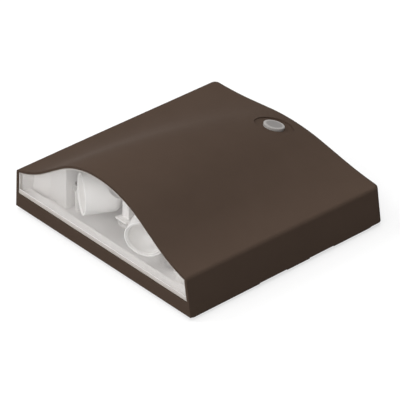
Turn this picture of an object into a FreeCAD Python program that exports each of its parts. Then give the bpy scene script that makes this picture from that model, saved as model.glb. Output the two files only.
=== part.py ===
"""Wall pack light with two swivelling lamp heads behind a bell-shaped clear window.

The fixture lies on its back: +Z points away from the wall, the window faces -Y (down in use)
and X runs across the width. The origin is the middle of the cable entry at the wall face.
All sizes are in millimetres and come from the sheet "sizes".
"""
import FreeCAD, Part
import math
import os
from types import SimpleNamespace
import Sketcher
from FreeCAD import Placement, Rotation, Vector

# Driving dimensions. Heights of the housing are measured from its lower edge, depths from the
# lower edge of the window, and both are moved into the frame by up() and back().
DIMENSIONS = {
    # housing envelope
    "housing_width": 230.0,
    "housing_depth": 224.0,
    "plate_lift": 3.4,
    "side_draft": 0.0833,
    "back_draft": 0.031,
    "plan_taper": 0.0171,
    "corner_radius": 6.0,
    "inner_corner_radius": 9.0,
    "rim_fillet": 3.5,
    "wall": 2.6,
    # crown: ridge line, shoulders and bell section
    "ridge_height": 91.3,
    "ridge_slope": 0.0253,
    "ridge_fall": 39.9104,
    "shoulder_front": 38.9,
    "shoulder_back": 35.5,
    "shoulder_margin": 2.0,
    "crest_half_front": 51.8,
    "crest_half_back": 34.0,
    "flank_half_front": 74.8,
    "flank_half_back": 60.0,
    "flank_gain": 0.0139,
    # window opening
    "opening_lean": 3.36,
    "lip_height": 14.8,
    "lip_thickness": 3.6,
    "lens_setback": 0.8,
    "lens_thickness": 2.6,
    "lens_gasket": 0.9,
    "seal_gap": 0.3,
    # button recess in the ridge
    "recess_place": 195.5,
    "recess_tilt": 18.3,
    "recess_radius": 17.7,
    "recess_floor": 2.0,
    "recess_pad": 3.0,
    "button_radius": 9.5,
    "button_gap": 0.15,
    "button_proud": 0.6,
    "button_flange": 1.6,
    "button_flange_radius": 11.2,
    "switch_radius": 14.0,
    "switch_height": 13.0,
    "switch_floor": 2.0,
    "switch_flange": 18.0,
    "switch_flange_height": 2.0,
    "switch_screw_across": 16.0,
    "spring_wire": 0.7,
    "spring_radius": 6.5,
    # reflector tray
    "tray_gap": 0.4,
    "tray_wall": 1.6,
    "ledge_height": 15.2,
    "ledge_depth": 11.6,
    "floor_height": 9.0,
    "panel_depth": 20.0,
    "panel_outer": 92.0,
    "bay_front_half": 72.0,
    "bay_back_half": 66.0,
    "bay_depth": 64.0,
    # lamp heads
    "pivot_across": 21.3,
    "pivot_depth": 46.0,
    "pivot_height": 43.6,
    "lamp_yaw": 30.0,
    "left_droop": -1.0,
    "right_droop": 6.1,
    "mouth_radius": 18.7,
    "mouth_distance": 40.0,
    "head_length": 33.0,
    "head_rear_radius": 17.4,
    "head_rear_round": 7.0,
    "head_wall": 1.4,
    "cup_radius": 16.8,
    "cup_wall": 1.0,
    "cup_setback": 1.0,
    "cup_height": 14.5,
    "led_board_radius": 10.0,
    "led_board_thickness": 1.6,
    "led_radius": 4.5,
    "tongue_width": 6.0,
    "tongue_radius": 4.4,
    "tongue_root": 9.0,
    "fork_gap": 0.1,
    "fork_cheek": 2.2,
    "fork_floor": 1.7,
    "pin_radius": 1.5,
    "pin_clearance": 0.05,
    "post_radius": 4.5,
    "spigot_radius": 3.5,
    "boss_radius": 8.0,
    "post_flange_radius": 6.5,
    "post_flange": 2.0,
    "post_play": 0.1,
    "post_nut": 2.3,
    "boss_height": 3.0,
    "pocket_radius": 11.0,
    "pocket_floor": 9.0,
    "pocket_place": 9.0,
    "pocket_turn": 50.7,
    "small_head": 2.8,
    "small_head_height": 1.8,
    # lamp deck
    "deck_height": 33.0,
    "deck_thickness": 1.4,
    "deck_half": 68.5,
    "deck_half_back": 65.0,
    "deck_corner": 7.0,
    "deck_depth_front": 20.0,
    "deck_depth_back": 61.0,
    "web_half": 7.0,
    "notch_outer": 61.2,
    "notch_depth": 54.6,
    "column_half": 4.0,
    "column_front": 25.4,
    "column_back": 39.0,
    "column_height": 20.0,
    # back plate
    "plate_gap": 0.3,
    "plate_corner": 12.0,
    "plate_front_corner": 3.0,
    "plate_notch": 1.2,
    "rim_offset": 3.2,
    "rim_wall": 2.0,
    "rim_height": 5.0,
    "rim_corner": 6.0,
    "gasket_height": 4.2,
    "hook_reach": 3.0,
    "hook_thickness": 1.5,
    "lug_half": 7.0,
    "lug_depth": 9.0,
    "wall_screw_across": 90.0,
    "wall_screw_along": 80.0,
    "entry_radius": 11.0,
    "grommet_bore": 7.0,
    "grommet_lip": 2.0,
    "grommet_lip_height": 1.2,
    "box_slot_pitch": 88.9,
    "gang_slot_pitch": 83.3,
    "slot_radius": 2.6,
    "slot_length": 14.0,
    # fastenings
    "screw_boss": 4.5,
    "pilot_radius": 1.65,
    "small_pilot": 1.2,
    "tray_ear_across": 82.0,
    "tray_ear_depth": 29.0,
    "tray_rear_across": 48.0,
    "tray_rear_depth": 73.0,
    "ear_half": 6.0,
    "gear_screw_across": 92.0,
    "gear_screw_front": 90.0,
    "gear_screw_back": 196.0,
    "cover_screw_across": 70.0,
    "cover_screw_height": 11.0,
    "cover_screw_radius": 2.0,
    "cover_head_radius": 3.8,
    "cover_screw_boss": 6.5,
    "screw_seat": 2.6,
    "hook_across": 60.0,
    "hook_half": 8.0,
    "ledge_low": 5.0,
    "ledge_reach": 2.0,
    "deck_screw_across": 65.0,
    "deck_screw_depth": 28.0,
    "deck_post_radius": 3.2,
    "lead_height": 24.0,
    "lead_hole": 5.0,
    "lead_bore": 3.0,
    "fit_gap": 0.05,
    # gear tray and what it carries
    "gear_height": 19.0,
    "sheet_metal": 1.2,
    "gear_half": 99.0,
    "gear_front": 82.0,
    "gear_back": 204.0,
    "gear_flange": 8.0,
    "gear_window": 15.0,
    "cell_radius": 7.1,
    "cell_length": 50.0,
    "cell_pitch": 14.4,
    "cell_start": 26.0,
    "cell_depth": 126.0,
    "strap_width": 16.0,
    "strap_foot": 9.0,
    "board_left": -94.0,
    "board_width": 76.0,
    "board_front": 102.0,
    "board_depth": 84.0,
    "board_thickness": 1.6,
    "standoff_height": 6.0,
    "standoff_radius": 3.0,
    "board_margin": 5.0,
    "pan_head": 3.2,
    "pan_head_height": 2.0,
}


class Size:
    """A number that remembers the sheet formula it comes from."""

    def __init__(self, value, text):
        self.value = value
        self.text = text

    def __add__(self, other):
        return Size(self.value + number(other), f"({self.text} + {formula(other)})")

    def __sub__(self, other):
        return Size(self.value - number(other), f"({self.text} - {formula(other)})")

    def __mul__(self, other):
        return Size(self.value * number(other), f"({self.text} * {formula(other)})")

    def __truediv__(self, other):
        return Size(self.value / number(other), f"({self.text} / {formula(other)})")

    def __radd__(self, other):
        return Size(number(other) + self.value, f"({formula(other)} + {self.text})")

    def __rsub__(self, other):
        return Size(number(other) - self.value, f"({formula(other)} - {self.text})")

    def __rmul__(self, other):
        return self * other

    def __neg__(self):
        return Size(-self.value, f"(0 - {self.text})")


def number(size):
    return size.value if isinstance(size, Size) else float(size)


def formula(size):
    return size.text if isinstance(size, Size) else f"{float(size):.6g}"


def sine(angle):
    return Size(math.sin(math.radians(number(angle))), f"sin({formula(angle)} * 1deg)")


def cosine(angle):
    return Size(math.cos(math.radians(number(angle))), f"cos({formula(angle)} * 1deg)")


def root(size):
    return Size(math.sqrt(number(size)), f"sqrt({formula(size)})")


doc = FreeCAD.newDocument("wall_pack_light")
sheet = doc.addObject("Spreadsheet::Sheet", "sizes")
for row, (alias, dimension) in enumerate(DIMENSIONS.items(), start=1):
    sheet.set(f"A{row}", alias)
    sheet.set(f"B{row}", str(dimension))
    sheet.setAlias(f"B{row}", alias)
doc.recompute()
size = SimpleNamespace(**{alias: Size(sheet.get(alias), f"sizes.{alias}") for alias in DIMENSIONS})


def back(depth):
    """Y of a point that lies this deep behind the window's lower edge."""
    return depth - size.housing_depth / 2 if isinstance(depth, Size) else -size.housing_depth / 2 + depth


def up(height):
    """Z of a point this high above the housing's lower edge."""
    return size.plate_lift + height


def bind(thing, **sizes):
    """Set each property and bind it to the sheet, if its size comes from there."""
    for name, value in sizes.items():
        setattr(thing, name, number(value))
        if isinstance(value, Size):
            thing.setExpression(name, value.text)


def place(thing, at, axis=Vector(0, 0, 1), angle=0.0):
    """Put a thing at three sizes, turned about an axis; the place follows the sheet."""
    thing.Placement = Placement(Vector(*[number(part) for part in at]), Rotation(axis, number(angle)))
    for letter, part in zip("xyz", at):
        if isinstance(part, Size):
            thing.setExpression(f"Placement.Base.{letter}", part.text)
    if isinstance(angle, Size):
        thing.setExpression("Placement.Rotation.Angle", f"{angle.text} * 1deg")
    return thing


def block(name, low, high):
    """A box between two corners."""
    box = doc.addObject("Part::Box", name)
    bind(box, Length=high[0] - low[0], Width=high[1] - low[1], Height=high[2] - low[2])
    return place(box, low)


def rod(name, radius, length, at, axis=Vector(0, 0, 1), angle=0.0):
    """A cylinder that starts at a point and runs along its own turned Z axis."""
    cylinder = doc.addObject("Part::Cylinder", name)
    bind(cylinder, Radius=radius, Height=length)
    return place(cylinder, at, axis, angle)


def join(name, *things):
    fused = doc.addObject("Part::MultiFuse", name)
    fused.Shapes = list(things)
    fused.Refine = True
    return fused


def cut(name, base, *tools):
    """The base without the tools."""
    difference = doc.addObject("Part::Cut", name)
    difference.Base = base
    difference.Tool = tools[0] if len(tools) == 1 else join(name + "_tools", *tools)
    return difference


def common(name, *things):
    overlap = doc.addObject("Part::MultiCommon", name)
    overlap.Shapes = list(things)
    return overlap


def group(name, *things):
    """Separate solids that share one node."""
    compound = doc.addObject("Part::Compound", name)
    compound.Links = list(things)
    return compound


def fillet(name, base, radius, choose):
    """Round the edges that choose(edge) accepts."""
    doc.recompute()
    rounded = doc.addObject("Part::Fillet", name)
    rounded.Base = base
    picked = [index for index, edge in enumerate(base.Shape.Edges, start=1) if choose(edge)]
    rounded.Edges = [(index, number(radius), number(radius)) for index in picked]
    return rounded


def outline(name, corners, at=(0, 0, 0), axis=Vector(0, 0, 1), angle=0.0):
    """A closed sketch of straight lines whose corners are bound to the sheet."""
    sketch = doc.addObject("Sketcher::SketchObject", name)
    points = [Vector(number(x), number(y), 0) for x, y in corners]
    for index, start in enumerate(points):
        sketch.addGeometry(Part.LineSegment(start, points[(index + 1) % len(points)]))
    for index in range(len(points)):
        following = (index + 1) % len(points)
        sketch.addConstraint(Sketcher.Constraint("Coincident", index, 2, following, 1))
    for index, corner in enumerate(corners):
        for kind, part in zip(("DistanceX", "DistanceY"), corner):
            pin_down(sketch, kind, index, 1, part)
    return place(sketch, at, axis, angle)


def pin_down(sketch, kind, geometry, point, part):
    """Fix one coordinate of a sketch point, bound to the sheet."""
    constraint = sketch.addConstraint(Sketcher.Constraint(kind, -1, 1, geometry, point, number(part)))
    if isinstance(part, Size):
        sketch.setExpression(f"Constraints[{constraint}]", part.text)


def prism(name, corners, low, high):
    """A straight-sided solid over a closed outline in plan."""
    solid = doc.addObject("Part::Extrusion", name)
    solid.Base = outline(name + "_outline", corners, at=(0, 0, low))
    solid.DirMode = "Custom"
    solid.Dir = Vector(0, 0, 1)
    solid.Solid = True
    bind(solid, LengthFwd=high - low)
    return solid


def turned(name, corners, at=(0, 0, 0), axis=Vector(0, 0, 1), angle=0.0):
    """A solid turned about its own Z axis from corners of (radius, height)."""
    solid = doc.addObject("Part::Revolution", name)
    solid.Source = outline(name + "_outline", corners, axis=Vector(1, 0, 0), angle=90)
    solid.Axis = Vector(0, 0, 1)
    solid.Angle = 360
    solid.Solid = True
    return place(solid, at, axis, angle)


def loft(name, sketches, ruled=False):
    solid = doc.addObject("Part::Loft", name)
    solid.Sections = sketches
    solid.Solid = True
    solid.Ruled = ruled
    return solid


def ridge(depth):
    """Height of the crown's ridge line: level at the window's peak, then an arc that falls away."""
    overhang = size.ridge_height * sine(size.opening_lean)
    beyond = depth + overhang
    share = beyond / (size.housing_depth + overhang)
    return size.ridge_height - beyond * size.ridge_slope - share * share * size.ridge_fall


def bell_section(name, depth, inset):
    """One section of the crown: crest arc, straight flanks, valley arcs that run out to the shoulders."""
    share = depth / size.housing_depth
    top = ridge(depth)
    shoulder = size.shoulder_front + (size.shoulder_back - size.shoulder_front) * share
    crest = size.crest_half_front + (size.crest_half_back - size.crest_half_front) * share
    flank = size.flank_half_front + (size.flank_half_back - size.flank_half_front) * share
    slope = (top - shoulder) * size.flank_gain
    edge = size.housing_width / 2 + size.shoulder_margin
    steep = root(slope * slope + 1)
    crest_radius = crest * steep / slope
    centre = up(top - inset - crest_radius)
    shoulder_height = up(shoulder - inset)
    bottom = up(-20)

    # exact start for the solver
    x1, x2, x3 = number(crest), number(flank), number(edge)
    angle = math.atan(number(slope))
    z1 = number(centre) + number(crest_radius) * math.cos(angle)
    z2 = z1 - (x2 - x1) * number(slope)
    z3 = number(shoulder_height)
    half_turn = math.atan((z2 - z3) / (x3 - x2))
    end = 2 * half_turn - angle
    valley = (x3 - x2) / (math.sin(angle) - math.sin(end))
    xv, zv = x2 + valley * math.sin(angle), z2 + valley * math.cos(angle)

    sketch = doc.addObject("Sketcher::SketchObject", name)
    low = number(bottom)
    flat = Vector(0, 0, 1)
    lines = {
        0: ((-x3, low), (x3, low)), 1: ((x3, low), (x3, z3)), 3: ((x2, z2), (x1, z1)),
        5: ((-x1, z1), (-x2, z2)), 7: ((-x3, z3), (-x3, low)),
    }
    arcs = {
        2: (xv, zv, valley, -math.pi / 2 - angle, -math.pi / 2 - end),
        4: (0.0, number(centre), number(crest_radius), math.pi / 2 - angle, math.pi / 2 + angle),
        6: (-xv, zv, valley, -math.pi / 2 + end, -math.pi / 2 + angle),
    }
    for index in range(8):
        if index in lines:
            (xa, za), (xb, zb) = lines[index]
            sketch.addGeometry(Part.LineSegment(Vector(xa, za, 0), Vector(xb, zb, 0)))
        else:
            xc, zc, radius, first, last = arcs[index]
            sketch.addGeometry(Part.ArcOfCircle(Part.Circle(Vector(xc, zc, 0), flat, radius), first, last))
    for first, first_end, second, second_end in ((0, 2, 1, 1), (1, 2, 2, 2), (6, 1, 7, 1), (7, 2, 0, 1)):
        sketch.addConstraint(Sketcher.Constraint("Coincident", first, first_end, second, second_end))
    for first, first_end, second, second_end in ((2, 1, 3, 1), (3, 2, 4, 1), (4, 2, 5, 1), (5, 2, 6, 2)):
        sketch.addConstraint(Sketcher.Constraint("Tangent", first, first_end, second, second_end))
    sketch.addConstraint(Sketcher.Constraint("Horizontal", 0))
    sketch.addConstraint(Sketcher.Constraint("Vertical", 1))
    sketch.addConstraint(Sketcher.Constraint("Vertical", 7))
    pin_down(sketch, "DistanceX", 1, 1, edge)
    pin_down(sketch, "DistanceX", 7, 1, -edge)
    pin_down(sketch, "DistanceY", 0, 1, bottom)
    pin_down(sketch, "DistanceY", 1, 2, shoulder_height)
    pin_down(sketch, "DistanceY", 7, 1, shoulder_height)
    pin_down(sketch, "DistanceX", 3, 2, crest)
    pin_down(sketch, "DistanceX", 5, 1, -crest)
    pin_down(sketch, "DistanceX", 3, 1, flank)
    pin_down(sketch, "DistanceX", 5, 2, -flank)
    pin_down(sketch, "DistanceY", 4, 3, centre)
    pin_down(sketch, "DistanceY", 3, 2, centre + crest_radius / steep)
    return place(sketch, (0, back(depth), 0), Vector(1, 0, 0), 90)


STATIONS = (-0.05, 0.18, 0.42, 0.66, 0.88, 1.05)     # of the housing depth
REACH = 130.0                                       # taller and wider than the housing, for cutting tools


def crown(name, inset):
    """The space under the crown surface, lowered by the inset."""
    sections = [
        bell_section(f"{name}_section_{index}", size.housing_depth * station, inset)
        for index, station in enumerate(STATIONS)
    ]
    return loft(name, sections)


def footprint(name, inset, corner):
    """The drafted and tapered block that bounds the housing in plan, drawn in by the inset."""
    front = -20.0
    outlines = []
    for level, height in enumerate((-20.0, REACH)):
        half_front = size.housing_width / 2 - inset - size.side_draft * height - size.plan_taper * front
        half_back = (
            size.housing_width / 2 - inset - size.side_draft * height - size.plan_taper * size.housing_depth
        )
        rear = back(size.housing_depth - inset - size.back_draft * height)
        corners = [
            (-half_front, back(front)), (half_front, back(front)), (half_back, rear), (-half_back, rear),
        ]
        outlines.append(outline(f"{name}_outline_{level}", corners, at=(0, 0, up(height))))
    straight = loft(name + "_straight", outlines, ruled=True)
    return fillet(name, straight, corner, is_rear_corner)


def is_rear_corner(edge):
    """Is this one of the upright edges behind the origin?"""
    ends = [vertex.Point for vertex in edge.Vertexes]
    return ends[0].y > 0 and ends[1].y > 0 and abs(ends[0].z - ends[1].z) > REACH / 2


def room(name, inset, corner):
    """Everything inside the housing's outer form, drawn in by the inset."""
    return common(name, crown(name + "_crown", inset), footprint(name + "_footprint", inset, corner))


def behind_window(name, start, end, low):
    """A slab that leans with the window, between two depths and above a height."""
    slab = doc.addObject("Part::Box", name + "_slab")
    bind(slab, Length=2 * REACH, Width=end - start, Height=2 * REACH)
    lean = size.opening_lean
    foot_y = back(0) + start * cosine(lean) + REACH / 2 * sine(lean)
    foot_z = up(0) + start * sine(lean) - REACH / 2 * cosine(lean)
    place(slab, (-REACH, foot_y, foot_z), Vector(1, 0, 0), lean)
    if low is None:
        return slab
    floor = block(name + "_above", (-REACH, -REACH, up(low)), (REACH, REACH, up(REACH)))
    return common(name, slab, floor)


def behind_button(name, radius, low, high, across=0.0):
    """A disc on the button's axis or beside it; its levels are counted outwards from the ridge."""
    tilt = size.recess_tilt
    at = (
        across,
        back(size.recess_place) + low * sine(tilt),
        up(ridge(size.recess_place) + low * cosine(tilt)),
    )
    return rod(name, radius, high - low, at, Vector(1, 0, 0), -tilt)


parts = {}                                          # node name: finished object


def keep(node, thing):
    thing.Label = node
    parts[node] = thing
    return thing


def is_rim_edge(edge):
    """Is this an edge where the crown meets a side wall or the rear wall?"""
    middle = edge.valueAt((edge.FirstParameter + edge.LastParameter) / 2)
    ends = [vertex.Point for vertex in edge.Vertexes]
    outside = max(abs(middle.x) / number(size.housing_width / 2), middle.y / number(size.housing_depth / 2))
    level = max(abs(ends[0].z - ends[-1].z), 0.0) < 0.2 * REACH
    at_front = middle.y < number(back(5.0))
    return outside > 0.9 and level and not at_front and middle.z > number(up(25.0))


def housing_bosses(form):
    """Screw bosses under the crown for the reflector tray and the gear tray, and behind the rear wall."""
    posts = []
    for side in (-1, 1):
        for across, depth, start in BOSS_PLACES:
            posts.append(rod("boss", size.screw_boss, REACH, (side * across, back(depth), up(start))))
        rear = size.housing_depth - size.wall - 3.0
        at = (side * size.cover_screw_across, back(rear), up(size.cover_screw_height))
        posts.append(rod("rear_boss", size.cover_screw_boss, REACH, at, Vector(1, 0, 0), -90))
    pad_low = -size.recess_floor - size.recess_pad
    posts.append(behind_button("recess_pad", size.recess_radius + 3.5, pad_low, -size.recess_floor))
    return common("housing_bosses", form, join("boss_posts", *posts))


def housing_lip(form):
    """The strip below the window, with two ledges inside it that catch the back plate's hooks."""
    strip = behind_window("lip", 0.0, size.lip_thickness, None)
    low = block("lip_height", (-REACH, -REACH, up(0)), (REACH, REACH, up(size.lip_height)))
    ledges = []
    for side in (-1, 1):
        centre, half = side * size.hook_across, size.hook_half + 2.0
        ledges.append(block(
            "ledge", (centre - half, back(size.lip_thickness - 1.0), up(size.ledge_low)),
            (centre + half, back(size.lip_thickness + size.ledge_reach), up(size.ledge_low + 2.0)),
        ))
    return [common("lip_strip", form, strip, low)] + ledges


def housing_holes():
    """Pilot holes in the bosses, screw seats in the rear wall, and the button's recess."""
    tools = []
    for side in (-1, 1):
        for across, depth, start in BOSS_PLACES:
            at = (side * across, back(depth), up(start - 1.0))
            tools.append(rod("pilot", size.pilot_radius, 11.0, at))
        seat = size.housing_depth - size.back_draft * size.cover_screw_height - size.screw_seat
        steps = ((size.cover_screw_radius + 0.2, seat - 10.0), (size.cover_head_radius + 0.3, seat))
        for radius, start in steps:
            at = (side * size.cover_screw_across, back(start), up(size.cover_screw_height))
            tools.append(rod("screw_way", radius, 20.0, at, Vector(1, 0, 0), -90))
    tools.append(behind_button("recess", size.recess_radius, -size.recess_floor, REACH / 4))
    hole = size.button_radius + size.button_gap
    tools.append(behind_button("button_hole", hole, -REACH / 4, size.recess_floor))
    pad = -size.recess_floor - size.recess_pad
    for side in (-1, 1):
        across = side * size.switch_screw_across
        tools.append(behind_button("switch_pilot", size.small_pilot, pad - 1.0, pad + 2.2, across))
    return tools


BOSS_PLACES = [
    (size.tray_ear_across, size.tray_ear_depth, size.floor_height + 0.2),
    (size.tray_rear_across, size.tray_rear_depth, size.floor_height + 0.2),
    (size.gear_screw_across, size.gear_screw_front, size.gear_height + size.sheet_metal + 0.1),
    (size.gear_screw_across, size.gear_screw_back, size.gear_height + size.sheet_metal + 0.1),
]


def make_housing():
    form = room("housing_form", 0.0, size.corner_radius)
    ahead = behind_window("ahead", -REACH, 0.0, None)
    below = block("below", (-REACH, -REACH, -REACH), (REACH, REACH, up(0)))
    trimmed = cut("housing_trimmed", form, ahead, below)
    rounded = fillet("housing_rounded", trimmed, size.rim_fillet, is_rim_edge)
    cavity = room("housing_cavity", size.wall, size.inner_corner_radius)
    shell = cut("housing_shell", rounded, cavity)
    whole = join("housing_whole", shell, *housing_lip(rounded), housing_bosses(rounded))
    keep("housing", cut("housing", whole, *housing_holes()))
    return cavity


def make_window(cavity):
    """The clear pane and the seal round it, both cut from the room inside the housing."""
    start = size.lens_setback
    end = start + size.lens_thickness
    pane_room = room("pane_room", size.wall + size.lens_gasket, size.inner_corner_radius)
    pane_slab = behind_window("pane", start, end, size.lip_height + size.lens_gasket)
    keep("front_lens", common("front_lens", pane_room, pane_slab))
    seal_slab = behind_window("seal", start, end, size.lip_height)
    seal_form = common("seal_form", cavity, seal_slab)
    pane_way = behind_window("pane_way", start - 1.0, end + 1.0, size.lip_height + size.lens_gasket)
    keep("lens_gasket", cut("lens_gasket", seal_form, common("seal_opening", pane_room, pane_way)))


def tray_plan(margin):
    """Half outline of the chamber: frame, slanted cheeks, front panels and the lamp bay."""
    half = size.housing_width / 2
    return [
        (half, 0.0), (half, size.ledge_depth), (size.panel_outer + margin, size.panel_depth + margin),
        (size.bay_front_half + margin, size.panel_depth + margin),
        (size.bay_back_half + margin, size.bay_depth + margin),
    ]


def whole_plan(half_plan):
    right = [(across, back(depth)) for across, depth in half_plan]
    left = [(-across, y) for across, y in reversed(right)]
    return right + left


def make_tray():
    outer_room = room("tray_outer", size.wall + size.tray_gap, size.inner_corner_radius)
    inner_room = room("tray_inner", size.wall + size.tray_gap + size.tray_wall, size.inner_corner_radius)
    start = size.lens_setback + size.lens_thickness + size.seal_gap
    floor_low = size.floor_height - size.tray_wall
    shell = common(
        "tray_shell", outer_room, behind_window("tray", start, REACH, None),
        prism("tray_block", whole_plan(tray_plan(size.tray_wall)), up(floor_low), up(REACH * 0.9)),
    )
    frame_under = block(
        "frame_under", (-REACH, back(-20.0), 0.0),
        (REACH, back(size.ledge_depth - size.tray_wall), up(size.ledge_height - size.tray_wall)),
    )
    frame_space = block(
        "frame_space", (-REACH, back(-20.0), up(size.ledge_height)),
        (REACH, back(size.ledge_depth), up(REACH)),
    )
    chamber = prism("chamber", whole_plan(tray_plan(0.0)), up(size.floor_height), up(REACH))
    frame_step = block(
        "frame_step", (-REACH, back(-20.0), 0.0), (REACH, back(size.ledge_depth), up(size.ledge_height)),
    )
    deep_chamber = cut("deep_chamber", chamber, frame_step)
    hollow = common("tray_hollow", inner_room, join("tray_spaces", frame_space, deep_chamber))
    formed = cut("tray_formed", shell, frame_under, hollow)
    added, holes = tray_fittings()
    keep("reflector_tray", cut("reflector_tray", join("tray_whole", formed, *added), *holes))


def make_lead_grommet():
    """Rubber ring with two lips in the bay's rear wall, for the lamp leads."""
    neck, lip = size.lead_hole - size.fit_gap, size.lead_hole + 1.5
    ring = turned("lead_ring", [
        (size.lead_bore, -1.2), (lip, -1.2), (lip, 0.0), (neck, 0.0), (neck, size.tray_wall),
        (lip, size.tray_wall), (lip, size.tray_wall + 1.2), (size.lead_bore, size.tray_wall + 1.2),
    ], (0.0, back(size.bay_depth), up(size.lead_height)), Vector(1, 0, 0), -90)
    keep("lead_grommet", ring)


def tray_fittings():
    """Bosses for the lamp posts and the deck, screw ears outside, and every hole of the tray."""
    added, holes = [], []
    low = up(size.floor_height - size.tray_wall)
    top = up(size.floor_height)
    for side in (-1, 1):
        pivot = (side * size.pivot_across, back(size.pivot_depth))
        added.append(rod("post_boss", size.boss_radius, size.tray_wall + size.boss_height, (*pivot, low)))
        holes.append(rod("post_hole", size.spigot_radius + size.pin_clearance, REACH, (*pivot, 0.0)))
        deck_post = (side * size.deck_screw_across, back(size.deck_screw_depth))
        height = size.deck_height - size.floor_height + size.tray_wall
        added.append(rod("deck_post", size.deck_post_radius, height, (*deck_post, low)))
        holes.append(rod("deck_pilot", size.small_pilot, 10.0, (*deck_post, up(size.deck_height - 9.0))))
        for across, depth in (
            (size.tray_ear_across, size.tray_ear_depth), (size.tray_rear_across, size.tray_rear_depth),
        ):
            centre = side * across
            added.append(block(
                "ear", (centre - size.ear_half, back(depth - size.ear_half - 3.0), low),
                (centre + size.ear_half, back(depth + size.ear_half), top),
            ))
            holes.append(rod("ear_hole", size.cover_screw_radius + 0.2, REACH, (centre, back(depth), 0.0)))
    at = (0.0, back(size.bay_depth - 5.0), up(size.lead_height))
    holes.append(rod("lead_hole", size.lead_hole, 20.0, at, Vector(1, 0, 0), -90))
    return added, holes


def head_frame(side):
    """From a frame whose +Z is the lamp's aim and +X the tilt axis to the fixture's."""
    at = (side * size.pivot_across, back(size.pivot_depth), up(size.pivot_height))
    pivot = Vector(*[number(part) for part in at])
    aim_down = size.left_droop if side < 0 else size.right_droop
    droop = Rotation(Vector(1, 0, 0), 90 + number(aim_down))
    yaw = Rotation(Vector(0, 0, 1), side * number(size.lamp_yaw))
    return Placement(pivot, yaw * droop)


def post_frame(side):
    """The same pivot with Z upright."""
    return Placement(head_frame(side).Base, Rotation(Vector(0, 0, 1), side * number(size.lamp_yaw)))


def keep_posed(node, thing, placement):
    thing.Placement = placement
    return keep(node, thing)


def along_x(name, radius, low, high, height=0.0):
    """A cylinder along X between two stations."""
    return rod(name, radius, high - low, (low, 0.0, height), Vector(0, 1, 0), 90)


def radial(name, side, radius, low, high):
    """A cylinder that points out of the head's inner upper flank, between two distances from its axis."""
    turn = number(size.pocket_turn) if side < 0 else 180 - number(size.pocket_turn)
    out = Vector(math.cos(math.radians(turn)), math.sin(math.radians(turn)), 0)
    cylinder = doc.addObject("Part::Cylinder", name)
    bind(cylinder, Radius=radius, Height=high - low)
    base = out * number(low) + Vector(0, 0, number(size.pocket_place))
    cylinder.Placement = Placement(base, Rotation(Vector(0, 0, 1), out))
    return cylinder


def make_head(side, name):
    """Tapered cup with a rounded rear, a pocket in its flank and a hinge tongue behind it."""
    rear = size.mouth_distance - size.head_length
    board_face = size.mouth_distance - size.cup_setback - size.cup_height
    floor = board_face - size.led_board_thickness
    body = turned(name + "_body", [
        (0.0, rear), (size.head_rear_radius, rear), (size.mouth_radius, size.mouth_distance),
        (0.0, size.mouth_distance),
    ])
    rounded = fillet(
        name + "_round", body, size.head_rear_round,
        lambda edge: len(edge.Vertexes) == 1 and abs(edge.Vertexes[0].Point.z - number(rear)) < 0.01,
    )
    taper = (size.mouth_radius - size.head_rear_radius) / size.head_length
    beyond = size.mouth_distance + 1.0
    hollow = turned(name + "_hollow", [
        (0.0, floor), (size.head_rear_radius + taper * (floor - rear) - size.head_wall, floor),
        (size.mouth_radius - size.head_wall + taper, beyond), (0.0, beyond),
    ])
    half = size.tongue_width / 2
    tongue = join(
        name + "_tongue",
        block("tongue", (-half, -size.tongue_radius, 0.0), (half, size.tongue_radius, size.tongue_root)),
        along_x("knuckle", size.tongue_radius, -half, half),
    )
    pocket = radial("pocket", side, size.pocket_radius, size.pocket_floor, REACH)
    lock_way = radial("lock_pilot", side, size.small_pilot, size.pocket_floor - 2.8, size.pocket_floor + 1.0)
    cup_body = cut(name + "_cut", rounded, hollow, pocket, lock_way)
    pin_way = along_x("pin_way", size.pin_radius + size.pin_clearance, -size.tongue_width, size.tongue_width)
    head = cut(name + "_lamp_head", join(name + "_whole", cup_body, tongue), pin_way)
    keep_posed(name + "_lamp_head", head, head_frame(side))
    make_lamp(side, name, board_face)


def make_lamp(side, name, board_face):
    """Bowl reflector, LED board under it and the lock screw in the flank's pocket."""
    equator = size.mouth_distance - size.cup_setback
    balls = []
    for label, radius in (("outer", size.cup_radius), ("inner", size.cup_radius - size.cup_wall)):
        ball = doc.addObject("Part::Sphere", f"{name}_{label}_bowl")
        bind(ball, Radius=radius)
        balls.append(place(ball, (0.0, 0.0, equator)))
    bowl_span = rod("bowl_cut", size.cup_radius + 1.0, size.cup_height, (0.0, 0.0, board_face))
    bowl = cut(name + "_bowl", common(name + "_bowl_form", balls[0], bowl_span), balls[1])
    keep_posed(name + "_reflector", group(name + "_reflector", bowl), head_frame(side))
    board_back = (0.0, 0.0, board_face - size.led_board_thickness)
    board = rod("board", size.led_board_radius, size.led_board_thickness, board_back)
    chip = rod("chip", size.led_radius, 1.0, (0.0, 0.0, board_face))
    keep_posed(name + "_led_board", join(name + "_led_board", board, chip), head_frame(side))
    seat = size.pocket_floor
    shank = radial("lock_shank", side, size.small_pilot - size.fit_gap, seat - 2.6, seat + 1.0)
    cap = radial("lock_cap", side, size.small_head, seat, seat + size.small_head_height)
    keep_posed(name + "_lock_screw", join(name + "_lock_screw", shank, cap), head_frame(side))


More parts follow.
